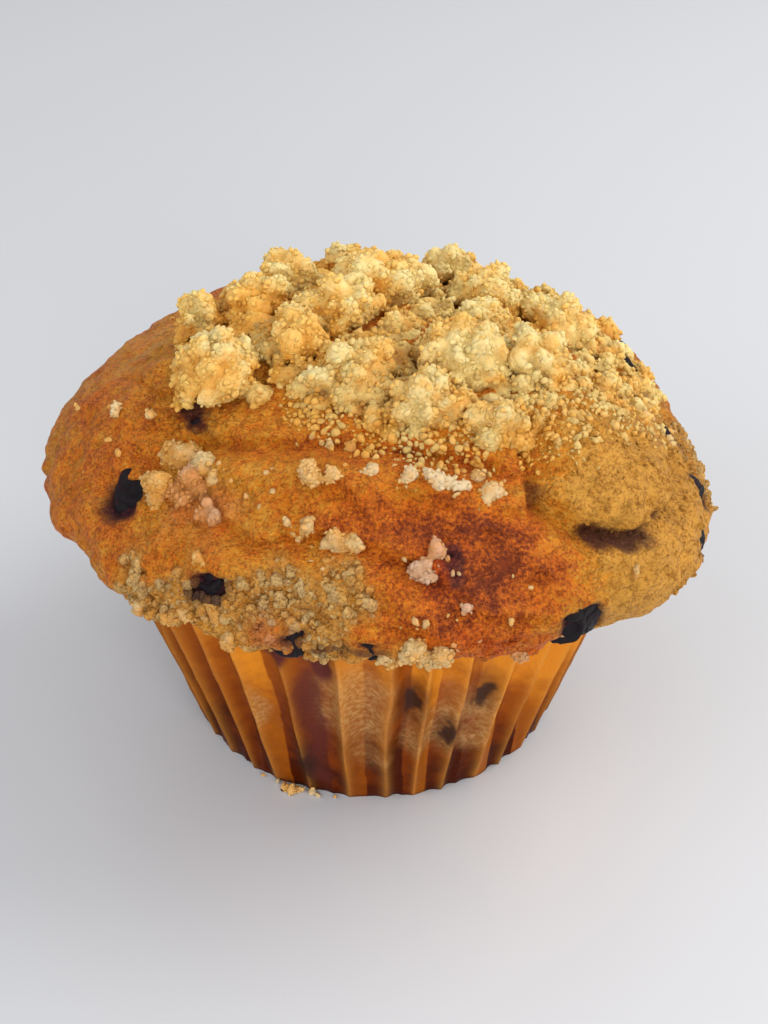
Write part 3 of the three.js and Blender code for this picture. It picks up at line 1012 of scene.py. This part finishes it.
lumpShape = {
    "knobs": (2.3 * mm, 1.0 * mm, 2.2 * mm),  # the least gap between them, the smallest and the largest
    "grains": (0.62 * mm, 0.2 * mm, 0.52 * mm),
    "shrink": 0.5 * mm,
    "sink": 0.0,
    "voxel": 0.34 * mm,
    "roughness": 0.22 * mm,
    "pale": 0.04,
    "material": crumbMaterial,
}
bedShape = {
    **lumpShape,
    "knobs": (2.6 * mm, 0.8 * mm, 1.9 * mm),
    "grains": (0.7 * mm, 0.22 * mm, 0.58 * mm),
    "shrink": 1.0 * mm,
    "sink": 1.3 * mm,
    "voxel": 0.45 * mm,
    "pale": 0.1,
}
stuckShape = {
    **lumpShape,
    "grains": (0.55 * mm, 0.16 * mm, 0.42 * mm),
    "voxel": 0.26 * mm,
    "pale": 0.22,
    "material": stuckMaterial,
}
strayFaces = 0.7 * mm  # how unevenly a grain's faces stand

# Small clumps stuck on the crust: place, how much juice has tinted them, and their balls' sizes.
stuckClumps = [
    (221, 18, 0, 4.4, 3.8, 3.2, 2.6, 2.2), (223, 12, 0, 3.6, 3.2, 2.8, 2.4), (229, 20, 0, 3.8, 2.4, 1.6),
    (234, 19, 0.3, 1.8, 1.4), (231, 16, 0.8, 3.4, 2.8, 2.2, 1.6), (227, 14, 0.6, 3, 2.4, 1.8),
    (236, 14, 0.8, 2.6, 2, 1.6), (262, 26, 0, 2, 1.5), (258, 31, 0, 1.4), (264, 31, 0, 1.7),
    (257, 25, 0, 2.8, 2.2, 1.4), (270, 27, 0, 1.6, 1.2), (278, 26, 0, 2.2, 1.6), (284, 24, 0, 2.4, 1.8, 1.4),
    (293, 23.5, 0, 1.9), (289, 23, 0, 1.6, 1.4), (294, 21, 0, 2.6, 1.6), (264, 14, 0, 3.2, 2.6, 2.2, 1.6),
    (258, 17, 0, 2.2, 1.8), (254, 17, 0, 1.4), (276, 2, 0, 2.6, 2.2, 1.8), (280, 1, 0.2, 2.4, 2),
    (272, -1, 0, 2.2, 1.5), (279, 11, 1, 2.6, 2.2, 1.6), (281, 14, 0.9, 2.4, 1.8, 1.4), (284, 7, 0.7, 1.3),
    (290, 5, 0.4, 1.2), (245, 1, 0, 2.4, 1.8), (240, 0, 0, 2, 1.7), (236, -2, 0, 2.6, 2, 1.6),
    (230, -3, 0, 2, 1.6), (247, -3, 0, 2.6, 2.2), (240, 9, 0, 1.8, 1.2), (300, -2, 0.8, 1.6, 1.2),
    (292, -3, 0.8, 1.8, 1.4, 1.2), (206, 22, 0.2, 1.2), (188, 12, 0.2, 1), (199, 18, 0.3, 1.4, 1.1),
    (311, 6, 0.5, 1.3, 1), (90, 24, 0, 2.2, 1.6), (122, 28, 0, 2, 1.4), (150, 24, 0, 1.8),
    (30, 10, 0, 2, 1.5), (66, 14, 0, 1.6),
]


def chanceValue(seed, low, high, kind="FLOAT"):
    node = addNode(seed.tree, "FunctionNodeRandomValue", {"Seed": seed}, data_type=kind)
    for socket, value in zip([s for s in node.inputs if s.enabled], (low, high)):
        join(value, socket)
    return Wire(next(s for s in node.outputs if s.enabled))


def makeBallTree(name, sides, keepMask):  # balls of random size, squash and turn strewn over a surface
    tree = newTree(name, {"Gap": 1 * mm, "Small": 0.4 * mm, "Large": 0.9 * mm, "Unevenness": strayFaces,
                          "Keep surface": True, "Seed": 0, "Crumb": crumbMaterial})
    start = wires(tree, "NodeGroupInput")
    surface, seed = start["Geometry"], start["Seed"]
    spots = addNode(tree, "GeometryNodeDistributePointsOnFaces", {
        "Mesh": surface, "Distance Min": start["Gap"], "Density Max": 6e6, "Seed": seed + 0.0},
        distribute_method="POISSON")
    if keepMask:
        share = wire(tree, "GeometryNodeInputNamedAttribute", {"Name": "strewn"}, data_type="FLOAT")
        join(share, spots.inputs["Density Factor"])
    ball = wire(tree, "GeometryNodeMeshUVSphere", {
        "Radius": 1.0, "Segments": sides, "Rings": sides - 2}, "Mesh")
    skewed = chanceValue(seed + 1.0, 0.0, 1.0)**1.7
    size = skewed.maths("MULTIPLY_ADD", start["Large"] - start["Small"], start["Small"])
    squash = chanceValue(seed + 2.0, (0.6,) * 3, (1.25,) * 3, "FLOAT_VECTOR")
    turn = chanceValue(seed + 3.0, (0,) * 3, (math.tau,) * 3, "FLOAT_VECTOR")
    placed = wire(tree, "GeometryNodeInstanceOnPoints", {
        "Points": Wire(spots.outputs["Points"]), "Instance": ball, "Rotation": turn,
        "Scale": vectorMaths("SCALE", {0: squash, "Scale": size})})
    tinted = hold(placed, "tint", chanceValue(seed + 4.0, 0.0, 1.0), "INSTANCE")
    loose = wire(tree, "GeometryNodeRealizeInstances", {"Geometry": tinted})
    wobble = wire(tree, "ShaderNodeTexNoise", {"Scale": 1400.0, "Detail": 1.0}, "Color")
    centred = vectorMaths("SUBTRACT", {0: wobble, 1: (0.5, 0.5, 0.5)})
    offset = vectorMaths("SCALE", {0: centred, "Scale": start["Unevenness"]})
    loose = wire(tree, "GeometryNodeSetPosition", {"Geometry": loose, "Offset": offset})
    kept = wire(tree, "GeometryNodeSwitch", {"Switch": start["Keep surface"], "True": surface},
                input_type="GEOMETRY")
    both = addNode(tree, "GeometryNodeJoinGeometry")
    for part in (kept, loose):
        join(part, both.inputs[0])
    endTree(Wire(both.outputs[0]), start["Crumb"])
    return tree


knobTree = makeBallTree("knobs on a crumb lump", 10, False)
grainTree = makeBallTree("crumb grains", 6, True)


def strew(piece, tree, sizes, seed, keep=True, material=crumbMaterial):
    gap, small, large = sizes
    runTree(piece, tree, {"Gap": gap, "Small": small, "Large": large, "Unevenness": strayFaces,
                          "Keep surface": keep, "Seed": seed, "Crumb": material})


def heightAboveCrust(points):  # 0 at the crust, 1 on top of the highest lumps
    outward = points - heart
    reach = lengths(outward)
    tilts = np.degrees(np.arcsin(outward[:, 2] / reach))
    azimuths = azimuthsOf(outward) % 360
    rings = np.abs(cakeTilts[None, :] - tilts[:, None]).argmin(axis=1)
    columns = np.round(azimuths * cakeShape["columns"] / 360).astype(int) % cakeShape["columns"]
    return smoothStep(0.2 * mm, 4.5 * mm, reach - cakeReach[rings, columns])


def crumble(piece, shape, seed, rosy=0.0):  # a plain lump becomes a clump of grains
    remesh(piece, shape["voxel"])
    mesh = piece.data
    points = pointsOf(mesh)
    rough = shape["roughness"] * layeredNoise(points, 1.5 * mm, seed, 2)
    rough += shape["roughness"] * (0.5 - cellNoise(points, 1.1 * mm, seed + 7))
    movePoints(mesh, points + normalsOf(mesh) * rough[:, None])
    # painted shade in the hollows and painted light on the tips; the lumps are also paler the higher they
    # stand above the crust, and each shape adds its own paleness
    paintHollowShade(mesh, 22, 1.5 * mm, 0.5 * heightAboveCrust(pointsOf(mesh)) + shape["pale"])
    strewn = smoothStep(-0.9, -0.1, layeredNoise(points, 3 * mm, seed + 3, 2))
    paint(mesh, tint=0.3, rosy=rosy, strewn=strewn)
    strew(piece, grainTree, shape["grains"], seed, True, shape["material"])


def makeCrumbs(node, seed, shape):
    piece = copyNode(node, node + "_crumbs")
    mesh = piece.data
    low, high = corners(node)
    thin = np.minimum(shape["shrink"], (high - low).min() * 0.2)
    points = pointsOf(mesh) - normalsOf(mesh) * thin
    movePoints(mesh, points - unitRows(points - heart) * shape["sink"])
    strew(piece, knobTree, shape["knobs"], seed)
    crumble(piece, shape, seed)
    finishPiece(piece, node)
    return piece


def ballsMesh(name, balls):  # closed balls given as (centre, radii)
    rings, sides = 5, 10
    ball = []
    for ring in range(rings):
        tilt = math.pi * (ring + 1) / (rings + 1)
        for side in range(sides):
            turn = math.tau * side / sides
            ball.append((math.sin(tilt) * math.cos(turn), math.sin(tilt) * math.sin(turn), math.cos(tilt)))
    ball = np.array(ball + [(0, 0, 1), (0, 0, -1)])
    points = np.concatenate([centre + radii * ball for centre, radii in balls])
    oneBall = skinFaces(rings, sides)
    faces = [[first + i for i in face] for first in range(0, len(points), len(ball)) for face in oneBall]
    return makePiece(name, points, faces)


def makeStuckClump(index, azimuth, tilt, sizes):
    draw = np.random.default_rng(900 + index)
    top = cakeHit(azimuth, tilt)[0]
    outward = unit(top - heart)
    balls = []
    for size in sizes:
        spread = 0.0 if not balls else 0.48 * sizes[0] * mm
        aside = unit(np.cross(outward, draw.normal(size=3)))
        lifted = (0.1 - 0.09 * max(0, size - 1.4)) * size * mm
        centre = top + aside * spread * draw.uniform(0.7, 1.2) + outward * lifted
        balls.append((centre, size * mm * 0.5 * draw.uniform(0.75, 1.1, 3)))
    return balls


for index, node in enumerate(lumpNodes):
    makeCrumbs(node, 300 + index, lumpShape)
bed = makeCrumbs("crumb_bed", 400, bedShape)
print("the topping is heaped:", len(bed.data.polygons), "faces in its bed")

# Crumbs that have fallen beside the paper's foot: azimuth and size.
footCrumbs = [
    (236, 1), (241, 0.8), (244, 1.5), (246.5, 1.8), (249, 1.3), (252, 1.6), (254, 1.1), (259, 0.8),
    (247, 0.9),
]


def makeFootCrumbs():
    draw = np.random.default_rng(77)
    balls = []
    for azimuth, size in footCrumbs:
        along = directionOf(azimuth, 0)
        radii = size * mm * 0.38 * draw.uniform(0.7, 1.2, 3)
        centre = along * (25.2 * mm + radii.max() * draw.uniform(0.5, 1.4))
        centre[2] = radii[2] * 0.75
        balls.append((centre, radii))
    piece = ballsMesh("foot_crumbs", balls)
    crumble(piece, stuckShape, 520)
    points = pointsOf(piece.data)
    points[:, 2] = np.maximum(points[:, 2], 0.02 * mm)
    movePoints(piece.data, points)
    finishPiece(piece)


makeFootCrumbs()
for tinted, label in ((0, "pale"), (1, "rosy")):
    balls = []
    for index, (azimuth, tilt, rosy, *sizes) in enumerate(stuckClumps):
        if (rosy > 0.5) == bool(tinted):
            balls += makeStuckClump(index, azimuth, tilt, sizes)
    piece = ballsMesh("stuck_crumbs_" + label, balls)
    crumble(piece, stuckShape, 500 + tinted, 0.75 * tinted)
    finishPiece(piece)
print("small clumps are stuck on the crust")


# Crumbs of the cake in its torn places, and loose grains of topping on the crust

# In these lists: place, width and the largest share of the grains that there is room for.
# Topping crumbs round the heap's edge.
skirtPlaces = [
    (316, 29, 12, 1), (332, 24, 13, 1), (345, 20, 11, 0.8), (306, 31, 9, 1), (294, 31, 9, 1), (284, 33, 9, 1),
    (272, 36, 9, 1), (260, 38, 9, 1), (248, 39, 9, 1),
]
# Loose grains on the rest of the crust.
loosePlaces = [
    (290, 24, 9, 0.3), (274, 28, 9, 0.25), (262, 29, 9, 0.2), (246, 22, 10, 0.14), (232, 18, 9, 0.3),
    (282, 18, 14, 0.07), (283, 11, 5, 0.3), (262, 13, 8, 0.25), (298, 4, 14, 0.06), (278, 2, 9, 0.3),
    (200, 18, 16, 0.04), (345, 14, 12, 0.4), (90, 16, 22, 0.08), (140, 26, 16, 0.12),
]


# Where the crust itself is granular.
coarsePlaces = [
    (319, 18, 24, 0.4), (335, 14, 16, 0.4), (346, 8, 14, 0.4), (216, 24, 12, 0.5), (232, 12, 14, 0.45),
    (322, 2, 12, 0.35), (290, 0, 10, 0.4),
]


def strewOnCake(name, share, sizes, seed, material):  # sizes: gap, smallest and largest in mm
    piece = addObject(name, cake.data.copy())
    paint(piece.data, strewn=share)
    strew(piece, grainTree, [size * mm for size in sizes], seed, False, material)
    finishPiece(piece)
    print(name, len(piece.data.polygons), "faces")


def strewCake():
    mesh = cake.data
    points = pointsOf(mesh)
    torn = np.empty(len(points), dtype=np.float32)
    mesh.attributes["torn"].data.foreach_get("value", torn)
    wild = layeredNoise(points, 2.6 * mm, 81, 2)
    above = smoothStep(caseTop - 2 * mm, caseTop, points[:, 2])

    def shareOf(places):
        share = np.zeros(len(points))
        for azimuth, tilt, across, most in places:
            away = lengths(points - cakeHit(azimuth, tilt)[0]) / (across * mm)
            share = np.maximum(share, most * smoothStep(0.62, 0.25, away + 0.15 * wild))
        return share

    strewOnCake("torn_cake_crumbs", smoothStep(0.35, 0.8, torn + 0.3 * wild) * above, (0.6, 0.16, 0.85),
                601, crustMaterial)
    strewOnCake("crust_grains", shareOf(coarsePlaces), (0.5, 0.12, 0.42), 603, crustMaterial)
    # an even middle level of the painted shade and tip light for the grains strewn from here on
    paint(mesh, tip=0.55)
    strewOnCake("skirt_crumbs", shareOf(skirtPlaces), (0.55, 0.16, 0.62), 604, crumbMaterial)
    strewOnCake("loose_crumbs", shareOf(loosePlaces) * (0.5 + 0.5 * (wild > 0)), (0.75, 0.14, 0.52),
                602, stuckMaterial)


strewCake()

low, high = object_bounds()
sizes = {"cad": [list(cadBox[0]), list(cadBox[1])], "visual": [list(low), list(high)]}
